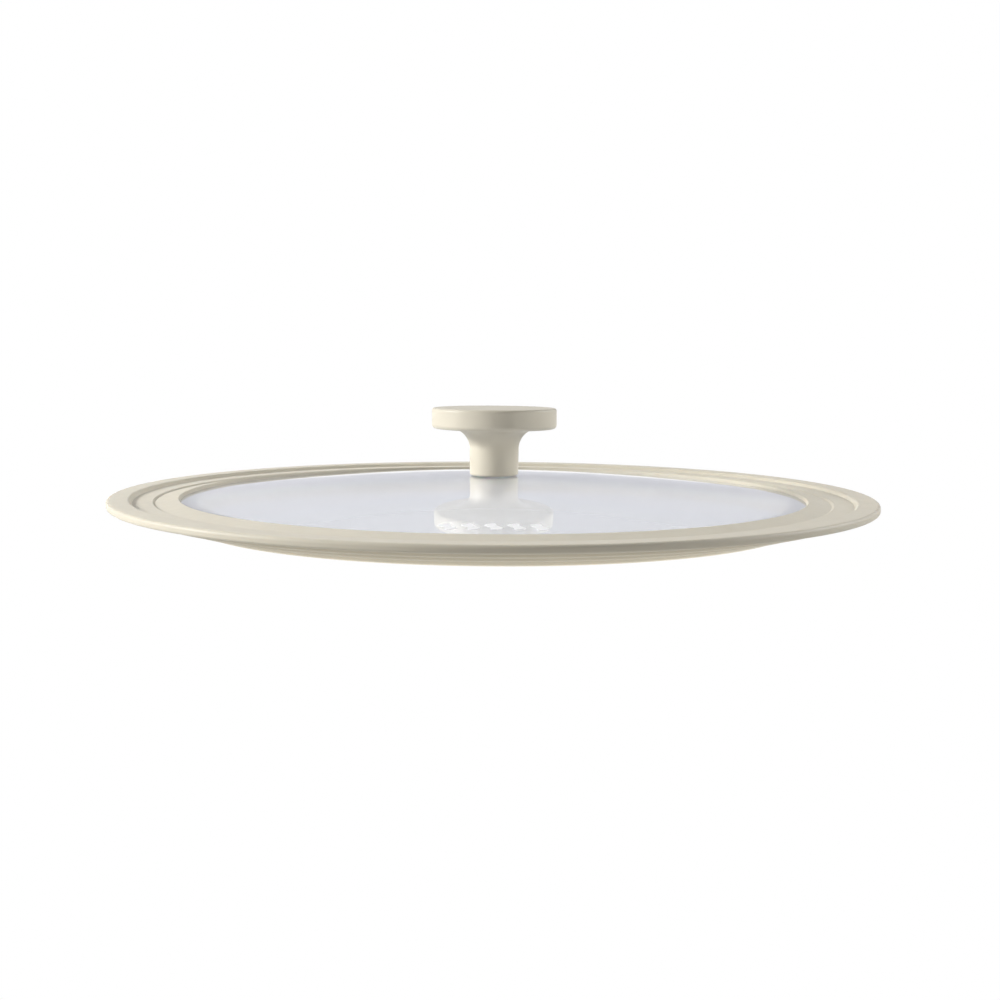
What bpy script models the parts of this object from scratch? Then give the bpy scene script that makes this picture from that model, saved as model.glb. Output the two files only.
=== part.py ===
"""Universal pan lid: a domed glass disc in a stepped silicone rim, with a screwed-on knob.

Units are metres and +Z is up. The origin is the centre of the circle that the lid stands on.
Every piece is turned about the Z axis, so most of them are a profile and a Screw modifier.
"""

import math

import bmesh
import bpy

MM = 0.001
GAP = 0.3 * MM  # between pieces that touch on the real lid

# Driving dimensions. A pan's size is its inside diameter.
RIM_R = 150 * MM
PAN_SIZES = (280 * MM, 260 * MM, 240 * MM)
PLUG_CLEARANCE = 1 * MM  # between a step's wall and the pan, on the radius
SEAT_HEIGHTS = (8.5 * MM, 5.7 * MM, 3.0 * MM)  # where each pan's rim touches, from the lowest edge
RIM_TOP = 11.4 * MM
SKIRT_WALL = 2.4 * MM

# Upper side of the rim: three rings, each a small step lower than the one outside it.
STEP_OUT_R, STEP_OUT_LOW, STEP_OUT_RUN = 140.6 * MM, 9.9 * MM, 1.2 * MM  # foot of the step, and its slant
STEP_IN_R, STEP_IN_LOW, STEP_IN_RUN = 132.2 * MM, 9.5 * MM, 0.9 * MM
STEP_IN_HIGH = 10.0 * MM
LIP_R, LIP_TOP, LIP_RUN = 123 * MM, 11 * MM, 0.3 * MM
LIP_FILLET, STEP_IN_FILLET, STEP_OUT_FILLET = 0.5 * MM, 0.3 * MM, 1.3 * MM
FLANGE_FILLET, FLANGE_UNDER_FILLET = 1.2 * MM, 0.8 * MM
STEP_FOOT_FILLET = 0.5 * MM

# Glass: a shallow cone with a rounded middle, of one thickness all over.
GLASS_R = 126.5 * MM
GLASS_THICK = 4 * MM
GLASS_APEX = 17.85 * MM
DOME_SLOPE = 0.116  # fall over run towards the edge
DOME_ROUND = 70 * MM  # radius within which the cone rounds over
GLASS_HOLE_R = 4 * MM
GLASS_EDGE = 0.8 * MM  # softening of the outer edge

# Knob, turned in one piece: a flat round head on a waisted stem.
KNOB_BOTTOM, KNOB_TOP = 18.3 * MM, 45.05 * MM
HEAD_R, HEAD_UNDERSIDE = 25 * MM, 36.8 * MM
HEAD_TOP_FILLET, HEAD_UNDER_FILLET = 1.1 * MM, 1.6 * MM
STEM_R, STEM_FOOT_R, STEM_FOOT_FILLET = 10 * MM, 9.7 * MM, 0.9 * MM
NECK_FILLET = 8 * MM

# Fastening stack on the axis.
SCREW_R = 2.4 * MM
SCREW_LENGTH = 20 * MM
CLEAR_R = SCREW_R + GAP  # every hole that the screw passes
INSERT_R, INSERT_LENGTH = 3.8 * MM, 13 * MM
GASKET_R, GASKET_THICK = 7 * MM, 1.1 * MM
LOWER_GASKET_R, LOWER_GASKET_THICK = 8.5 * MM, 1.2 * MM
WASHER_R, WASHER_THICK, WASHER_DISH = 9.5 * MM, 0.9 * MM, 0.8 * MM
LOCK_WASHER_R, LOCK_WASHER_THICK, LOCK_WASHER_SPLIT = 4.4 * MM, 1.1 * MM, 1.2 * MM
SCREW_HEAD_R, SCREW_HEAD_HEIGHT = 4.6 * MM, 2.6 * MM
RECESS_LENGTH, RECESS_WIDTH, RECESS_DEPTH = 4.4 * MM, 1.1 * MM, 1.5 * MM

LARGE_SEGMENTS, SMALL_SEGMENTS = 72, 40
GLASS_RINGS = 5  # flat facets from the glass's hole to its edge
ARC_STEP = 2 * MM  # longest edge along a fillet


def clear_scene():
    for obj in list(bpy.data.objects):
        bpy.data.objects.remove(obj)


def collection(name):
    made = bpy.data.collections.new(name)
    bpy.context.scene.collection.children.link(made)
    return made


def material(name, colour, roughness, metallic=0.0, transmission=0.0):
    made = bpy.data.materials.new(name)
    made.use_nodes = True
    shader = made.node_tree.nodes["Principled BSDF"]
    shader.inputs["Base Color"].default_value = (*colour, 1)
    shader.inputs["Roughness"].default_value = roughness
    shader.inputs["Metallic"].default_value = metallic
    shader.inputs["Transmission Weight"].default_value = transmission
    made.diffuse_color = (*colour, 1)
    return made


def dome(radius):
    """Height of the glass's top surface."""
    return GLASS_APEX - DOME_SLOPE * (math.hypot(radius, DOME_ROUND) - DOME_ROUND)


def rounded(corners, closed):
    """Corners are (radius, height, fillet). Each fillet becomes an arc of short edges."""
    points = []
    count = len(corners)
    for i, (r, z, fillet) in enumerate(corners):
        if fillet == 0 or (not closed and i in (0, count - 1)):
            points.append((r, z))
            continue
        before, after = corners[i - 1], corners[(i + 1) % count]
        to_before = (before[0] - r, before[1] - z)
        to_after = (after[0] - r, after[1] - z)
        length_a, length_b = math.hypot(*to_before), math.hypot(*to_after)
        a = (to_before[0] / length_a, to_before[1] / length_a)
        b = (to_after[0] / length_b, to_after[1] / length_b)
        half = math.acos(max(-1, min(1, a[0] * b[0] + a[1] * b[1]))) / 2
        tangent = fillet / math.tan(half)
        middle = (a[0] + b[0], a[1] + b[1])
        scale = fillet / math.sin(half) / math.hypot(*middle)
        centre = (r + middle[0] * scale, z + middle[1] * scale)
        start = math.atan2(z + a[1] * tangent - centre[1], r + a[0] * tangent - centre[0])
        end = math.atan2(z + b[1] * tangent - centre[1], r + b[0] * tangent - centre[0])
        turn = (end - start + math.pi) % (2 * math.pi) - math.pi
        steps = max(2, round(fillet * abs(turn) / ARC_STEP))
        for step in range(steps + 1):
            angle = start + turn * step / steps
            points.append((centre[0] + fillet * math.cos(angle), centre[1] + fillet * math.sin(angle)))
    return points


def turned(name, points, closed, segments, home, finish):
    """A profile in the XZ plane, clockwise seen with +X right and +Z up, turned about Z."""
    mesh = bpy.data.meshes.new(name)
    edges = [(i, i + 1) for i in range(len(points) - 1)]
    if closed:
        edges.append((len(points) - 1, 0))
    mesh.from_pydata([(r, 0, z) for r, z in points], edges, [])
    obj = bpy.data.objects.new(name, mesh)
    home.objects.link(obj)
    screw = obj.modifiers.new("turn", "SCREW")
    screw.axis = "Z"
    screw.steps = screw.render_steps = segments
    screw.use_merge_vertices = True
    screw.merge_threshold = 0.00001
    screw.use_smooth_shade = True
    mesh.materials.append(finish)
    return obj


def ring(name, inner, outer, bottom, top, home, finish):
    """A flat washer shape."""
    points = [(inner, top), (outer, top), (outer, bottom), (inner, bottom)]
    return turned(name, points, True, SMALL_SEGMENTS, home, finish)


def box_cutter(name, size, centre, home):
    mesh = bpy.data.meshes.new(name)
    form = bmesh.new()
    bmesh.ops.create_cube(form, size=1)
    bmesh.ops.scale(form, vec=size, verts=form.verts)
    form.to_mesh(mesh)
    form.free()
    cutter = bpy.data.objects.new(name, mesh)
    cutter.location = centre
    cutter.hide_render = True
    cutter.display_type = "WIRE"
    home.objects.link(cutter)
    return cutter


def cut(obj, cutter):
    boolean = obj.modifiers.new("cut " + cutter.name, "BOOLEAN")
    boolean.operation = "DIFFERENCE"
    boolean.solver = "EXACT"
    boolean.object = cutter


def silicone_rim(home, finish):
    """The stepped rim. Its upper rings step down towards the glass, and its underside steps in to each pan size."""
    walls = [size / 2 - PLUG_CLEARANCE for size in PAN_SIZES]
    skirt_in = walls[2] - SKIRT_WALL
    groove_r = GLASS_R + GAP
    corners = [
        (LIP_R, dome(LIP_R) + GAP, 0),
        (LIP_R + LIP_RUN, LIP_TOP, LIP_FILLET),
        (STEP_IN_R, STEP_IN_LOW, 0),
        (STEP_IN_R + STEP_IN_RUN, STEP_IN_HIGH, STEP_IN_FILLET),
        (STEP_OUT_R, STEP_OUT_LOW, 0),
        (STEP_OUT_R + STEP_OUT_RUN, RIM_TOP, STEP_OUT_FILLET),
        (RIM_R, RIM_TOP, FLANGE_FILLET),
        (RIM_R, SEAT_HEIGHTS[0], FLANGE_UNDER_FILLET),
    ]
    below = (*SEAT_HEIGHTS[1:], 0)
    for wall, seat, foot in zip(walls, SEAT_HEIGHTS, below):
        corners += [(wall, seat, 0), (wall, foot, STEP_FOOT_FILLET)]
    corners += [
        (skirt_in, 0, STEP_FOOT_FILLET),
        (skirt_in, dome(skirt_in) - GLASS_THICK - GAP, 0),
        (groove_r, dome(groove_r) - GLASS_THICK - GAP, 0),
        (groove_r, dome(groove_r) + GAP, 0),
    ]
    return turned("silicone_rim", rounded(corners, True), True, LARGE_SEGMENTS, home, finish)


def glass_disc(home, finish):
    """Domed disc with a centre hole and softened edges."""
    span = GLASS_R - GLASS_EDGE - GLASS_HOLE_R
    radii = [GLASS_HOLE_R + span * ring_number / GLASS_RINGS for ring_number in range(GLASS_RINGS + 1)]
    top = [(r, dome(r)) for r in radii]
    outer_top = dome(GLASS_R) - GLASS_EDGE
    side = [(GLASS_R, outer_top), (GLASS_R, outer_top - GLASS_THICK + 2 * GLASS_EDGE)]
    underside = [(r, dome(r) - GLASS_THICK) for r in reversed(radii)]
    return turned("glass_disc", top + side + underside, True, LARGE_SEGMENTS, home, finish)


def knob_body(home, finish):
    """Head and stem, with a recess under the stem for the gasket and a blind bore for the insert."""
    bore_r, bore_top = INSERT_R + GAP, gasket_ceiling() + INSERT_LENGTH + 2 * GAP
    corners = [
        (0, KNOB_TOP, 0),
        (HEAD_R, KNOB_TOP, HEAD_TOP_FILLET),
        (HEAD_R, HEAD_UNDERSIDE, HEAD_UNDER_FILLET),
        (STEM_R, HEAD_UNDERSIDE, NECK_FILLET),
        (STEM_FOOT_R, KNOB_BOTTOM, STEM_FOOT_FILLET),
        (GASKET_R + GAP, KNOB_BOTTOM, 0),
        (GASKET_R + GAP, gasket_ceiling(), 0),
        (bore_r, gasket_ceiling(), 0),
        (bore_r, bore_top, 0),
        (0, bore_top, 0),
    ]
    return turned("knob_body", rounded(corners, False), False, SMALL_SEGMENTS, home, finish)


def gasket_bottom():
    return GLASS_APEX + GAP


def gasket_ceiling():
    """The roof of the knob's recess, just above the upper gasket."""
    return gasket_bottom() + GASKET_THICK + GAP


def threaded_insert(home, finish):
    """Brass nut moulded into the stem. Its closed end stops the screw."""
    bottom = gasket_ceiling() + GAP
    top = bottom + INSERT_LENGTH
    roof = top - 1 * MM
    collar = INSERT_R - 0.5 * MM  # waist that keys into the moulding
    points = [
        (0, top),
        (INSERT_R, top),
        (INSERT_R, top - 4 * MM),
        (collar, top - 4.5 * MM),
        (collar, bottom + 4.5 * MM),
        (INSERT_R, bottom + 4 * MM),
        (INSERT_R, bottom),
        (CLEAR_R, bottom),
        (CLEAR_R, roof),
        (0, roof),
    ]
    return turned("threaded_insert", points, False, SMALL_SEGMENTS, home, finish)


def upper_gasket(home, finish):
    """Silicone washer under the knob, with a sleeve that lines the hole in the glass."""
    sleeve_r = GLASS_HOLE_R - GAP
    foot = GLASS_APEX - GLASS_THICK
    points = [
        (CLEAR_R, gasket_bottom() + GASKET_THICK),
        (GASKET_R, gasket_bottom() + GASKET_THICK),
        (GASKET_R, gasket_bottom()),
        (sleeve_r, gasket_bottom()),
        (sleeve_r, foot),
        (CLEAR_R, foot),
    ]
    return turned("upper_gasket", points, True, SMALL_SEGMENTS, home, finish)


def fastening_heights():
    """Top faces of the pieces under the glass, going down the screw, and the screw head's lowest face."""
    lower_gasket_top = dome(LOWER_GASKET_R) - GLASS_THICK - GAP
    washer_top = lower_gasket_top - LOWER_GASKET_THICK - GAP
    lock_top = washer_top - WASHER_THICK - GAP
    head_top = lock_top - LOCK_WASHER_THICK - GAP
    return lower_gasket_top, washer_top, lock_top, head_top, head_top - SCREW_HEAD_HEIGHT


def lower_gasket(home, finish):
    top = fastening_heights()[0]
    return ring("lower_gasket", CLEAR_R, LOWER_GASKET_R, top - LOWER_GASKET_THICK, top, home, finish)


def cup_washer(home, finish):
    """Steel washer, dished up around the gasket's edge."""
    top = fastening_heights()[1]
    bottom = top - WASHER_THICK
    wall = LOWER_GASKET_R + GAP
    points = [
        (CLEAR_R, top),
        (wall, top),
        (wall + 0.3 * MM, top + WASHER_DISH),
        (WASHER_R + 0.3 * MM, top + WASHER_DISH),
        (WASHER_R, bottom + 0.3 * MM),
        (WASHER_R - 0.3 * MM, bottom),
        (CLEAR_R, bottom),
    ]
    return turned("cup_washer", points, True, SMALL_SEGMENTS, home, finish)


def lock_washer(home, cutters, finish):
    """Split spring washer that keeps the screw tight when the lid heats and cools."""
    top = fastening_heights()[2]
    obj = ring("lock_washer", CLEAR_R, LOCK_WASHER_R, top - LOCK_WASHER_THICK, top, home, finish)
    middle = (CLEAR_R + LOCK_WASHER_R) / 2
    size = (4 * MM, LOCK_WASHER_SPLIT, 3 * LOCK_WASHER_THICK)
    split = box_cutter("washer_split", size, (middle, 0, top - LOCK_WASHER_THICK / 2), cutters)
    cut(obj, split)
    return obj


def knob_screw(home, cutters, finish):
    """Pan-head screw with a cross recess, driven from below."""
    head_top, head_bottom = fastening_heights()[3:]
    tip = head_top + SCREW_LENGTH
    corners = [
        (0, tip, 0),
        (SCREW_R - 0.5 * MM, tip, 0),
        (SCREW_R, tip - 0.8 * MM, 0),
        (SCREW_R, head_top, 0),
        (SCREW_HEAD_R, head_top, 0),
        (SCREW_HEAD_R, head_bottom, 1.4 * MM),
        (0, head_bottom, 0),
    ]
    obj = turned("knob_screw", rounded(corners, False), False, SMALL_SEGMENTS, home, finish)
    depth = 2 * RECESS_DEPTH
    for name, size in (
        ("recess_x", (RECESS_LENGTH, RECESS_WIDTH, depth)),
        ("recess_y", (RECESS_WIDTH, RECESS_LENGTH, depth)),
    ):
        cut(obj, box_cutter(name, size, (0, 0, head_bottom), cutters))
    return obj


def main():
    clear_scene()
    home = collection("universal_pan_lid")
    cutters = collection("cutters")
    silicone = material("cream_silicone", (0.68, 0.63, 0.51), 0.6)
    glass = material("tempered_glass", (0.93, 0.95, 0.97), 0.02, transmission=1.0)
    knob = material("cream_soft_touch", (0.68, 0.63, 0.51), 0.5)
    seal = material("clear_silicone", (0.85, 0.85, 0.82), 0.5)
    steel = material("stainless_steel", (0.62, 0.62, 0.64), 0.3, metallic=1.0)
    brass = material("brass", (0.75, 0.58, 0.3), 0.35, metallic=1.0)
    silicone_rim(home, silicone)
    glass_disc(home, glass)
    knob_body(home, knob)
    threaded_insert(home, brass)
    upper_gasket(home, seal)
    lower_gasket(home, seal)
    cup_washer(home, steel)
    lock_washer(home, cutters, steel)
    knob_screw(home, cutters, steel)


main()
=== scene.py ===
"""Looks of the universal pan lid: fine meshes, materials, light and camera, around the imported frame."""

import math

import bmesh
import bpy
from mathutils import Matrix, Vector

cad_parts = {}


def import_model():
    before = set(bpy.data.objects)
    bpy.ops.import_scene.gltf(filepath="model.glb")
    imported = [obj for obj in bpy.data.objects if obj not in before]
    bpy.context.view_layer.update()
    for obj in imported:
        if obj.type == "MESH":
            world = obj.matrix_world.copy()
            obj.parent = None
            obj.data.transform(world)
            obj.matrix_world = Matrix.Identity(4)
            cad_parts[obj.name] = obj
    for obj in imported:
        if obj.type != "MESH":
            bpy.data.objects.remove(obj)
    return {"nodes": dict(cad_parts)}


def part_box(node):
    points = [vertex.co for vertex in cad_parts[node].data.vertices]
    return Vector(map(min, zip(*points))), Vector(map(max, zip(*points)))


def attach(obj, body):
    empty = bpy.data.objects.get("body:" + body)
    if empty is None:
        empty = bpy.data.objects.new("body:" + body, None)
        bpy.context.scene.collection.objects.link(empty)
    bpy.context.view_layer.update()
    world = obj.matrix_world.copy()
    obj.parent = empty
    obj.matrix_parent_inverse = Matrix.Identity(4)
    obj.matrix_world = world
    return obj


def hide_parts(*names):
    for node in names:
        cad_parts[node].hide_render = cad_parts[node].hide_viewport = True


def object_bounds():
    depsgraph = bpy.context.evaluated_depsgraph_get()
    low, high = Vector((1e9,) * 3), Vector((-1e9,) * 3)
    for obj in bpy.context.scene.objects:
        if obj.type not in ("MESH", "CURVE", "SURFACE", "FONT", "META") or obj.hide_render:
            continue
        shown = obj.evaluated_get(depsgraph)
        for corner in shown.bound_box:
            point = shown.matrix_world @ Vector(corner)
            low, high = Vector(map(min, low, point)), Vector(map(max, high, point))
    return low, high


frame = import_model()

cad_low, cad_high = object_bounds()
MM = 0.001
GAP = 0.3 * MM  # the frame's gap between pieces that touch on the real lid

# Places read from the frame. Each is the CAD's own extreme, so the fine meshes don't outgrow it.
RIM_LOW, RIM_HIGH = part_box("silicone_rim")
GLASS_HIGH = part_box("glass_disc")[1]
KNOB_LOW, KNOB_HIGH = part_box("knob_body")
INSERT_LOW, INSERT_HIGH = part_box("threaded_insert")
GASKET_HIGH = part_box("upper_gasket")[1]

# Rim: a flange, a step down to a middle ring, and a smaller step down to an inner ring, which rises to
# a lip over the glass. Its underside has the seats of three pans, each with a wall inside it.
RIM_R = RIM_HIGH.x
FLANGE_TOP = RIM_HIGH.z
SEAT_HEIGHTS = (8.5 * MM, 5.7 * MM, 3.0 * MM)
WALLS = (139 * MM, 129 * MM, 119 * MM)
SKIRT_WALL = 2.4 * MM
SKIRT_IN_R = WALLS[2] - SKIRT_WALL
STEP_OUT_R, STEP_OUT_LOW, STEP_OUT_RUN = 140.6 * MM, 9.9 * MM, 1.2 * MM
STEP_IN_R, STEP_IN_LOW, STEP_IN_HIGH, STEP_IN_RUN = 132.2 * MM, 9.5 * MM, 10.0 * MM, 0.9 * MM
LIP_R, LIP_TOP, LIP_RUN = 123 * MM, 11 * MM, 0.3 * MM
LIP_FILLET, FLANGE_FILLET, FLANGE_UNDER_FILLET = 0.5 * MM, 1.2 * MM, 0.8 * MM
STEP_IN_FOOT_FILLET, STEP_IN_FILLET = 0.15 * MM, 0.35 * MM
STEP_OUT_FOOT_FILLET, STEP_OUT_FILLET = 0.12 * MM, 1.3 * MM
SEAT_FILLET, FOOT_FILLET = 0.2 * MM, 0.5 * MM
GROOVE_FILLET = 0.2 * MM
TOUCH = 0.02 * MM  # between the glass and what lies on it
FOOT_SQUEEZE = 0.25 * MM  # narrows the frame's gap under the knob, which the real screw closes

# Glass
GLASS_R = GLASS_HIGH.x
GLASS_THICK = 4 * MM
GLASS_HOLE_R = 4 * MM
DOME_APEX = GLASS_HIGH.z
DOME_SLOPE = 0.116  # fall over run towards the edge
DOME_ROUND = 70 * MM  # radius within which the cone rounds over
GLASS_EDGE = 0.8 * MM  # how far the rounding of the outer edge reaches in
GLASS_RINGS, GLASS_EDGE_STEPS = 30, 12

# Knob
HEAD_UNDERSIDE = 36.8 * MM
STEM_R, STEM_FOOT_R = 10 * MM, 9.7 * MM
HEAD_TOP_FILLET, HEAD_UNDER_FILLET = 1.1 * MM, 1.6 * MM
NECK_FILLET, STEM_FOOT_FILLET = 8 * MM, 0.9 * MM
RECESS_FILLET = 0.2 * MM

# Camera and light
CAMERA_DISTANCE = 0.5228
CAMERA_ELEVATION = math.radians(5.93)
CAMERA_ROLL = math.radians(0.4)
LENS, SENSOR_WIDTH = 46.64, 36  # millimetres
CLIP_START, CLIP_END = 0.01, 100
CAMERA_AIM = Vector((2.5 * MM, 0, 7.9 * MM))
WHITE = (1.0, 1.0, 1.0, 1.0)
CREAM = (0.61, 0.565, 0.46)
MILK = (0.8, 0.8, 0.77)
# The room that polished surfaces reflect: a grey for each sine of the elevation.
ROOM = ((0.0, 0.78), (0.05, 0.7), (0.15, 0.62), (0.33, 0.44), (0.6, 0.42))
ROOM_TINT = (0.985, 0.99, 1.05)
# What matte surfaces get of the light table's light: inside the skirt, under the steps, and beyond the lid.
GLOW_INSIDE, GLOW_UNDER_RIM, GLOW_AROUND = 2.6, 0.9, 0.4
GLOW_FADE = 5 * MM  # from the rim's edge outwards
FLOOR_HALF, FLOOR_DROP = 20, 0.2 * MM  # half its side in metres, and how far it lies below the lid
SOFTBOX_DISTANCE = 1.5
SOFTBOXES = (  # name, side in metres, azimuth and elevation in degrees, watts
    ("key_left", 0.3, -85, 22, 28),
    ("fill_left", 0.6, -40, 12, 3.5),
    ("fill_front", 0.6, 60, 12, 4.5),
    ("side_right", 0.6, 110, 28, 13.5),
    ("back_left", 0.6, -150, 50, 5),
)

# Printed symbol
PRINT_WAVES, PRINT_PITCH = 5, 7.4 * MM
PRINT_Y, PRINT_LENGTH = -107 * MM, 8.5 * MM
PRINT_SWING, PRINT_STROKE = 1.1 * MM, 4 * MM
PRINT_INK = 0.06 * MM
PRINT_STEPS = 40
PRINT_BLUNT = 0.02  # keeps a stroke's ends from closing to a point

LARGE, SMALL = 240, 96  # segments around the rim and around the knob
ARC_STEP = 0.35 * MM  # longest edge along a fillet
HOLD = 0.12 * MM  # a loop this far from each fillet keeps the shading of the flats clean
SHARP = math.radians(35)  # edges that turn more than this stay sharp


# ---------------------------------------------------------------- shapes


def dome(radius):
    """Height of the glass's top surface."""
    return DOME_APEX - DOME_SLOPE * (math.hypot(radius, DOME_ROUND) - DOME_ROUND)


def rounded(corners, closed):
    """Corners are (radius, height, fillet). Fillets become fine arcs, with a holding point beside each."""
    points = []
    count = len(corners)
    for i, (r, z, fillet) in enumerate(corners):
        if fillet == 0 or (not closed and i in (0, count - 1)):
            points.append((r, z))
            continue
        here = Vector((r, z))
        a = (Vector(corners[i - 1][:2]) - here).normalized()
        b = (Vector(corners[(i + 1) % count][:2]) - here).normalized()
        half = a.angle(b) / 2
        tangent = fillet / math.tan(half)
        centre = here + (a + b).normalized() * fillet / math.sin(half)
        first, last = here + a * tangent - centre, here + b * tangent - centre
        turn = last.angle_signed(first)
        steps = max(4, round(fillet * abs(turn) / ARC_STEP))
        points.append(tuple(here + a * (tangent + HOLD)))
        for step in range(steps + 1):
            points.append(tuple(centre + Matrix.Rotation(turn * step / steps, 2) @ first))
        points.append(tuple(here + b * (tangent + HOLD)))
    return points


def turned(name, points, closed, segments):
    """Turns a profile of (radius, height) about Z. Points on the axis become one vertex."""
    form = bmesh.new()
    rings = []
    for r, z in points:
        if r == 0:
            rings.append([form.verts.new((0, 0, z))] * segments)
            continue
        angles = [2 * math.pi * k / segments for k in range(segments)]
        rings.append([form.verts.new((r * math.cos(a), r * math.sin(a), z)) for a in angles])
    count = len(rings)
    for i in range(count if closed else count - 1):
        upper, lower = rings[i], rings[(i + 1) % count]
        for k in range(segments):
            j = (k + 1) % segments
            corners = (upper[k], lower[k], lower[j], upper[j])
            form.faces.new(list(dict.fromkeys(corners)))
    return finished(name, form)


def finished(name, form):
    """Makes the object, with outward faces, smooth shading and sharp corners."""
    bmesh.ops.recalc_face_normals(form, faces=form.faces)
    mesh = bpy.data.meshes.new(name)
    form.to_mesh(mesh)
    form.free()
    mesh.shade_smooth()
    mesh.set_sharp_from_angle(angle=SHARP)
    obj = bpy.data.objects.new(name, mesh)
    bpy.context.scene.collection.objects.link(obj)
    return obj


def silicone_rim():
    """The stepped ring, whose groove holds the glass."""
    groove_r = GLASS_R + GAP
    corners = [
        (LIP_R, dome(LIP_R) + TOUCH, 0),
        (LIP_R + LIP_RUN, LIP_TOP, LIP_FILLET),
        (STEP_IN_R, STEP_IN_LOW, STEP_IN_FOOT_FILLET),
        (STEP_IN_R + STEP_IN_RUN, STEP_IN_HIGH, STEP_IN_FILLET),
        (STEP_OUT_R, STEP_OUT_LOW, STEP_OUT_FOOT_FILLET),
        (STEP_OUT_R + STEP_OUT_RUN, FLANGE_TOP, STEP_OUT_FILLET),
        (RIM_R, FLANGE_TOP, FLANGE_FILLET),
        (RIM_R, SEAT_HEIGHTS[0], FLANGE_UNDER_FILLET),
    ]
    feet = (*SEAT_HEIGHTS[1:], RIM_LOW.z)
    for wall, seat, foot in zip(WALLS, SEAT_HEIGHTS, feet):
        corners += [(wall, seat, SEAT_FILLET), (wall, foot, FOOT_FILLET)]
    corners += [
        (SKIRT_IN_R, RIM_LOW.z, FOOT_FILLET),
        (SKIRT_IN_R, dome(SKIRT_IN_R) - GLASS_THICK - TOUCH, 0),
        (groove_r, dome(groove_r) - GLASS_THICK - TOUCH, GROOVE_FILLET),
        (groove_r, dome(groove_r) + TOUCH, GROOVE_FILLET),
    ]
    return turned("rim", rounded(corners, True), True, LARGE)


def glass_disc():
    """The domed disc, with a centre hole and a rounded edge."""
    flat_r = GLASS_R - GLASS_EDGE
    span = flat_r - GLASS_HOLE_R
    radii = [GLASS_HOLE_R + span * i / GLASS_RINGS for i in range(GLASS_RINGS + 1)]
    top = [(r, dome(r)) for r in radii]
    half = GLASS_THICK / 2
    middle = dome(flat_r) - half
    arc = [math.pi * (0.5 - k / GLASS_EDGE_STEPS) for k in range(1, GLASS_EDGE_STEPS)]
    side = [(flat_r + GLASS_EDGE * math.cos(a), middle + half * math.sin(a)) for a in arc]
    underside = [(r, dome(r) - GLASS_THICK) for r in reversed(radii)]
    return turned("glass", top + side + underside, True, LARGE)


def knob_body():
    """Head, neck and stem, with a recess for the gasket and a blind bore for the insert."""
    head_r = KNOB_HIGH.x
    foot = KNOB_LOW.z - FOOT_SQUEEZE
    ceiling = INSERT_LOW.z - GAP
    recess_r = GASKET_HIGH.x + GAP
    bore_r = INSERT_HIGH.x + GAP
    bore_top = INSERT_HIGH.z + GAP
    corners = [
        (0, KNOB_HIGH.z, 0),
        (head_r, KNOB_HIGH.z, HEAD_TOP_FILLET),
        (head_r, HEAD_UNDERSIDE, HEAD_UNDER_FILLET),
        (STEM_R, HEAD_UNDERSIDE, NECK_FILLET),
        (STEM_FOOT_R, foot, STEM_FOOT_FILLET),
        (recess_r, foot, RECESS_FILLET),
        (recess_r, ceiling, RECESS_FILLET),
        (bore_r, ceiling, RECESS_FILLET),
        (bore_r, bore_top, RECESS_FILLET),
        (0, bore_top, 0),
    ]
    return turned("knob", rounded(corners, False), False, SMALL)


def steam_print():
    """A generic steam symbol printed on the glass near its front edge: wavy strokes side by side."""
    form = bmesh.new()
    for number in range(PRINT_WAVES):
        wave_stroke(form, PRINT_PITCH * (number - (PRINT_WAVES - 1) / 2))
    return finished("steam_print", form)


def wave_stroke(form, middle):
    """One closed stroke of ink along Y. Its width tapers at both ends, and it follows the dome."""
    rows = []
    for step in range(PRINT_STEPS + 1):
        t = step / PRINT_STEPS
        y = PRINT_Y + PRINT_LENGTH * (t - 0.5)
        x = middle + PRINT_SWING * math.sin(2 * math.pi * t)
        half = PRINT_STROKE / 2 * math.sqrt(max(PRINT_BLUNT, 1 - (2 * t - 1) ** 4))
        row = []
        for side, lift in ((-1, TOUCH), (1, TOUCH), (1, PRINT_INK), (-1, PRINT_INK)):
            place = x + side * half
            row.append(form.verts.new((place, y, dome(math.hypot(place, y)) + lift)))
        rows.append(row)
    for low, high in zip(rows, rows[1:]):
        for k in range(4):
            j = (k + 1) % 4
            form.faces.new((low[k], low[j], high[j], high[k]))
    form.faces.new(rows[0])
    form.faces.new(rows[-1])


# ---------------------------------------------------------------- materials


class Nodes:
    """A node tree, with short calls for the nodes used here."""

    def __init__(self, tree):
        self.tree = tree

    def link(self, source, target):
        self.tree.links.new(source, target)

    def colours(self, factor, stops):
        ramp = self.tree.nodes.new("ShaderNodeValToRGB")
        elements = ramp.color_ramp.elements
        while len(elements) < len(stops):
            elements.new(0.5)
        for element, (place, colour) in zip(elements, stops):
            element.position = place
            element.color = (*colour, 1)
        self.link(factor, ramp.inputs["Fac"])
        return ramp.outputs["Color"]

    def mixed(self, factor, first, second):
        """The first colour where the factor is 0, and a fixed second colour where it is 1."""
        node = self.tree.nodes.new("ShaderNodeMixRGB")
        node.inputs["Color2"].default_value = second
        self.link(factor, node.inputs["Fac"])
        self.link(first, node.inputs["Color1"])
        return node.outputs["Color"]


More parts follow.
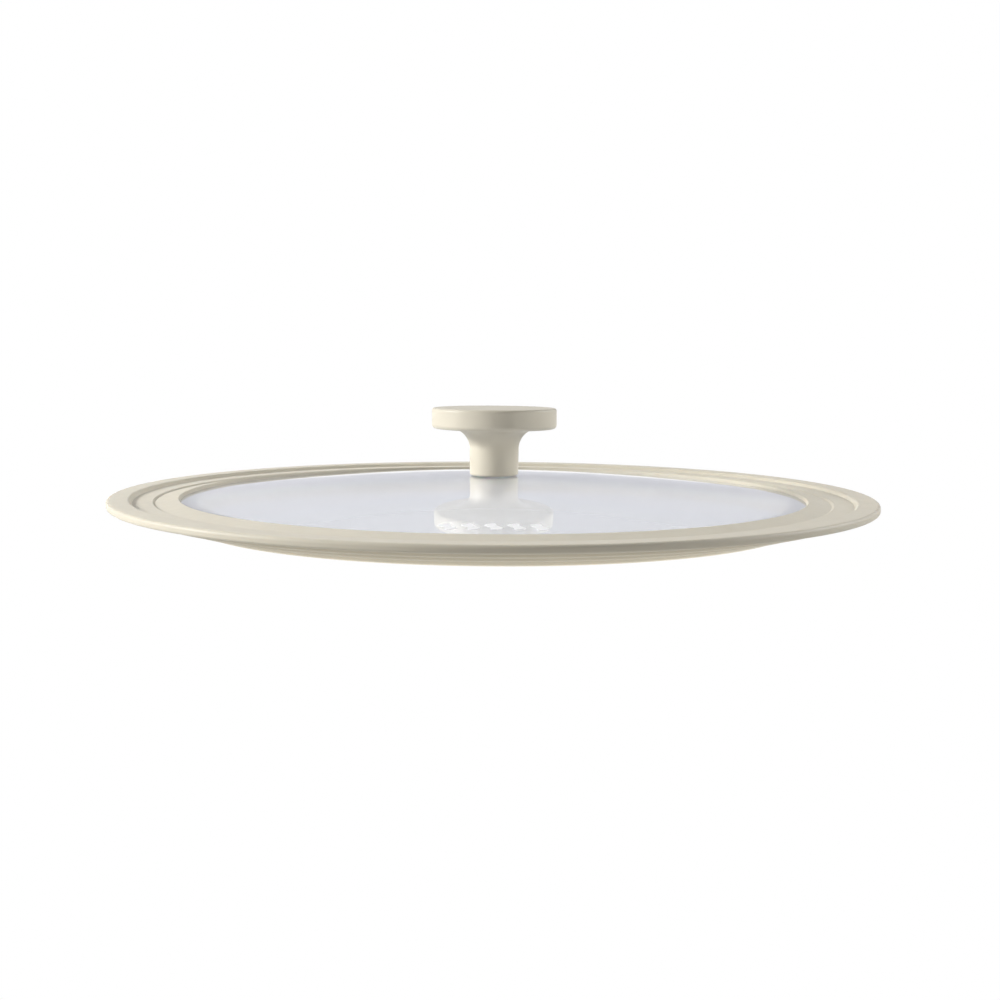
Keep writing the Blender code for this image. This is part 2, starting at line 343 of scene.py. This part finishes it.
class MaterialNodes(Nodes):
    """A material's nodes. Noise is placed in the object's own coordinates."""

    def __init__(self, name):
        self.material = bpy.data.materials.new(name)
        self.material.use_nodes = True
        super().__init__(self.material.node_tree)
        self.shader = self.tree.nodes["Principled BSDF"]
        self.place = self.tree.nodes.new("ShaderNodeTexCoord").outputs["Object"]

    def noise(self, size, detail=2.0, roughness=0.5):
        """A noise whose features are about `size` metres across."""
        node = self.tree.nodes.new("ShaderNodeTexNoise")
        node.inputs["Scale"].default_value = 1 / size
        node.inputs["Detail"].default_value = detail
        node.inputs["Roughness"].default_value = roughness
        self.link(self.place, node.inputs["Vector"])
        return node.outputs["Fac"]

    def between(self, factor, low, high, start=0.35, end=0.65):
        """Maps a factor to a number between low and high."""
        node = self.tree.nodes.new("ShaderNodeMapRange")
        node.inputs["From Min"].default_value = start
        node.inputs["From Max"].default_value = end
        node.inputs["To Min"].default_value = low
        node.inputs["To Max"].default_value = high
        self.link(factor, node.inputs["Value"])
        return node.outputs["Result"]

    def bump(self, height, distance, strength=1.0, under=None):
        node = self.tree.nodes.new("ShaderNodeBump")
        node.inputs["Strength"].default_value = strength
        node.inputs["Distance"].default_value = distance
        self.link(height, node.inputs["Height"])
        if under is not None:
            self.link(under, node.inputs["Normal"])
        return node.outputs["Normal"]

    def set(self, **values):
        for name, value in values.items():
            self.shader.inputs[name.replace("_", " ")].default_value = value


class WorldNodes(Nodes):
    """The world's nodes, with the direction that a ray looks in."""

    def __init__(self):
        made = bpy.data.worlds.new("studio")
        bpy.context.scene.world = made
        made.use_nodes = True
        super().__init__(made.node_tree)
        self.direction = self.tree.nodes.new("ShaderNodeTexCoord").outputs["Generated"]


def shade(colour, factor):
    """The same colour, darker or lighter."""
    return tuple(channel * factor for channel in colour)


def cream_silicone():
    """Matte moulded silicone: a satin grain, faint flow marks and a soft translucency."""
    nodes = MaterialNodes("cream_silicone")
    drift = nodes.noise(14 * MM, 3)
    base = nodes.colours(drift, [(0.3, shade(CREAM, 0.975)), (0.7, shade(CREAM, 1.02))])
    nodes.link(base, nodes.shader.inputs["Base Color"])
    grain = nodes.noise(0.35 * MM, 3, 0.6)
    nodes.link(nodes.between(nodes.noise(3 * MM, 4), 0.5, 0.6), nodes.shader.inputs["Roughness"])
    flow = nodes.bump(nodes.noise(9 * MM, 2), 0.05 * MM, 0.3)
    nodes.link(nodes.bump(grain, 0.02 * MM, 0.5, flow), nodes.shader.inputs["Normal"])
    nodes.set(Subsurface_Weight=0.12, Subsurface_Scale=0.0015, Specular_IOR_Level=0.35)
    nodes.shader.inputs["Subsurface Radius"].default_value = (1.0, 0.75, 0.5)
    nodes.set(Sheen_Weight=0.08, Sheen_Roughness=0.5)
    return nodes.material


def cream_soft_touch():
    """Soft-touch coated plastic: finer and a little smoother than the rim."""
    nodes = MaterialNodes("cream_soft_touch")
    base = nodes.colours(nodes.noise(10 * MM, 2), [(0.3, shade(CREAM, 0.98)), (0.7, shade(CREAM, 1.015))])
    nodes.link(base, nodes.shader.inputs["Base Color"])
    nodes.link(nodes.between(nodes.noise(2 * MM, 3), 0.42, 0.5), nodes.shader.inputs["Roughness"])
    nodes.link(nodes.bump(nodes.noise(0.22 * MM, 2), 0.01 * MM, 0.4), nodes.shader.inputs["Normal"])
    nodes.set(Specular_IOR_Level=0.4, Sheen_Weight=0.06, Sheen_Roughness=0.4)
    return nodes.material


def tempered_glass():
    """Clear glass, with the faint unevenness that tempering leaves."""
    nodes = MaterialNodes("tempered_glass")
    nodes.set(Base_Color=(0.95, 0.965, 1.0, 1), Transmission_Weight=0.8, IOR=1.5)
    nodes.link(nodes.between(nodes.noise(6 * MM, 5), 0.0, 0.012), nodes.shader.inputs["Roughness"])
    nodes.link(nodes.bump(nodes.noise(25 * MM, 1), 0.02 * MM, 0.15), nodes.shader.inputs["Normal"])
    return nodes.material


def milky_silicone():
    """Uncoloured silicone of the gaskets, which lets light into it."""
    nodes = MaterialNodes("milky_silicone")
    base = nodes.colours(nodes.noise(2 * MM, 2), [(0.3, shade(MILK, 0.96)), (0.7, MILK)])
    nodes.link(base, nodes.shader.inputs["Base Color"])
    nodes.link(nodes.between(nodes.noise(1 * MM, 2), 0.3, 0.4), nodes.shader.inputs["Roughness"])
    nodes.link(nodes.bump(nodes.noise(0.3 * MM, 2), 0.01 * MM, 0.4), nodes.shader.inputs["Normal"])
    nodes.set(Subsurface_Weight=0.4, Subsurface_Scale=0.002)
    return nodes.material


def white_print():
    """Fired white enamel, nearly matte, with a slightly uneven cover."""
    nodes = MaterialNodes("white_print")
    ink = nodes.colours(nodes.noise(1.2 * MM, 3), [(0.3, (0.92, 0.92, 0.93)), (0.7, (0.96, 0.96, 0.97))])
    nodes.link(ink, nodes.shader.inputs["Base Color"])
    nodes.link(nodes.between(nodes.noise(0.6 * MM, 2), 0.55, 0.65), nodes.shader.inputs["Roughness"])
    nodes.link(nodes.bump(nodes.noise(0.3 * MM, 2), 0.002 * MM, 0.2), nodes.shader.inputs["Normal"])
    nodes.set(Specular_IOR_Level=0.15)
    return nodes.material


def turned_metal(name, colour, dark, roughness):
    """Machined metal, with fine rings about the axis and a slightly uneven polish."""
    nodes = MaterialNodes(name)
    rings = nodes.tree.nodes.new("ShaderNodeTexWave")
    rings.wave_type = "RINGS"
    rings.rings_direction = "Z"
    rings.inputs["Scale"].default_value = 1 / (0.9 * MM)
    rings.inputs["Distortion"].default_value = 1.5
    rings.inputs["Detail"].default_value = 2
    nodes.link(nodes.place, rings.inputs["Vector"])
    base = nodes.colours(nodes.noise(1.5 * MM, 4), [(0.3, dark), (0.65, colour)])
    nodes.link(base, nodes.shader.inputs["Base Color"])
    nodes.link(nodes.between(nodes.noise(0.8 * MM, 3), roughness * 0.8, roughness * 1.3),
               nodes.shader.inputs["Roughness"])
    nodes.link(nodes.bump(rings.outputs["Fac"], 0.01 * MM, 0.3), nodes.shader.inputs["Normal"])
    nodes.set(Metallic=1.0)
    return nodes.material


# ---------------------------------------------------------------- stage


def floor():
    """A white light table: it lights the underside, and shows no shadow."""
    form = bmesh.new()
    bmesh.ops.create_grid(form, x_segments=1, y_segments=1, size=FLOOR_HALF)
    obj = finished("floor", form)
    obj.location.z = cad_low.z - FLOOR_DROP
    nodes = MaterialNodes("floor_white")
    emission = nodes.tree.nodes.new("ShaderNodeEmission")
    emission.inputs["Color"].default_value = WHITE
    path = nodes.tree.nodes.new("ShaderNodeLightPath")
    radius = nodes.tree.nodes.new("ShaderNodeVectorMath")
    radius.operation = "LENGTH"
    nodes.link(nodes.place, radius.inputs[0])
    rings = (
        (SKIRT_IN_R, GLOW_INSIDE),
        (WALLS[2], GLOW_UNDER_RIM),
        (RIM_R, GLOW_UNDER_RIM),
        (RIM_R + GLOW_FADE, GLOW_AROUND),
    )
    glow = nodes.colours(radius.outputs["Value"], [(place, (level,) * 3) for place, level in rings])
    strength = nodes.tree.nodes.new("ShaderNodeMix")
    strength.inputs["A"].default_value = 1.0
    nodes.link(path.outputs["Is Diffuse Ray"], strength.inputs["Factor"])
    nodes.link(glow, strength.inputs["B"])
    nodes.link(strength.outputs["Result"], emission.inputs["Strength"])
    nodes.link(emission.outputs["Emission"], nodes.tree.nodes["Material Output"].inputs["Surface"])
    obj.data.materials.append(nodes.material)


def world():
    """White to the camera, dark to matte surfaces, and a plain soft grey room to polished ones."""
    nodes = WorldNodes()
    path = nodes.tree.nodes.new("ShaderNodeLightPath")
    split = nodes.tree.nodes.new("ShaderNodeSeparateXYZ")
    nodes.link(nodes.direction, split.inputs["Vector"])
    greys = [(sine, tuple(min(1, grey * tint) for tint in ROOM_TINT)) for sine, grey in ROOM]
    room = nodes.colours(split.outputs["Z"], greys)
    shaded = nodes.mixed(path.outputs["Is Diffuse Ray"], room, (0, 0, 0, 1))
    seen = nodes.mixed(path.outputs["Is Camera Ray"], shaded, WHITE)
    nodes.link(seen, nodes.tree.nodes["Background"].inputs["Color"])


def softbox(name, side, azimuth, elevation, power):
    """A square light that faces the lid. Azimuth 0 is over the camera, and 90 is on the right."""
    data = bpy.data.lights.new(name, "AREA")
    data.shape = "SQUARE"
    data.size = side
    data.energy = power
    obj = bpy.data.objects.new(name, data)
    bpy.context.scene.collection.objects.link(obj)
    across, up = math.radians(azimuth), math.radians(elevation)
    level = math.cos(up)
    direction = Vector((math.sin(across) * level, -math.cos(across) * level, math.sin(up)))
    obj.location = direction * SOFTBOX_DISTANCE
    obj.rotation_euler = (-obj.location).to_track_quat("-Z", "Y").to_euler()


def camera():
    """A camera just above the rim's plane, aimed beside the lid's middle and rolled a little."""
    data = bpy.data.cameras.new("camera")
    data.lens, data.sensor_width = LENS, SENSOR_WIDTH
    obj = bpy.data.objects.new("camera", data)
    bpy.context.scene.collection.objects.link(obj)
    centre = Vector((0, 0, FLANGE_TOP))
    back = Vector((0, -math.cos(CAMERA_ELEVATION), math.sin(CAMERA_ELEVATION)))
    obj.location = centre + back * CAMERA_DISTANCE
    view = (CAMERA_AIM - obj.location).normalized()
    side = view.cross(Vector((0, 0, 1))).normalized()
    up = side.cross(view)
    right = side * math.cos(CAMERA_ROLL) + up * math.sin(CAMERA_ROLL)
    top = right.cross(view)
    obj.rotation_euler = Matrix((right, top, -view)).transposed().to_euler()
    data.clip_start, data.clip_end = CLIP_START, CLIP_END
    bpy.context.scene.camera = obj


# ---------------------------------------------------------------- assembly


def printed_ink():
    """The print is on the glass, so it moves with the lid. It stands for no CAD node."""
    ink = steam_print()
    ink.data.materials.append(white_print())
    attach(ink, "lid")


def dress(obj, material, body, node):
    """A fine piece that stands for one CAD node."""
    obj.data.materials.append(material)
    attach(obj, body)
    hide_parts(node)


def refinish(node, material):
    """A CAD node that stays, with a better material."""
    obj = frame["nodes"][node]
    obj.data.materials.clear()
    obj.data.materials.append(material)


def main():
    silicone, soft_touch = cream_silicone(), cream_soft_touch()
    milky = milky_silicone()
    steel = turned_metal("stainless_steel", (0.86, 0.86, 0.86), (0.76, 0.76, 0.77), 0.4)
    brass = turned_metal("brass", (0.78, 0.6, 0.3), (0.66, 0.48, 0.22), 0.3)
    dress(silicone_rim(), silicone, "lid", "silicone_rim")
    dress(glass_disc(), tempered_glass(), "lid", "glass_disc")
    dress(knob_body(), soft_touch, "knob", "knob_body")
    printed_ink()
    refinish("threaded_insert", brass)
    refinish("upper_gasket", milky)
    refinish("lower_gasket", milky)
    for node in ("cup_washer", "lock_washer", "knob_screw"):
        refinish(node, steel)
    floor()
    world()
    for light in SOFTBOXES:
        softbox(*light)
    camera()
    bpy.context.scene.view_settings.view_transform = "Standard"


main()
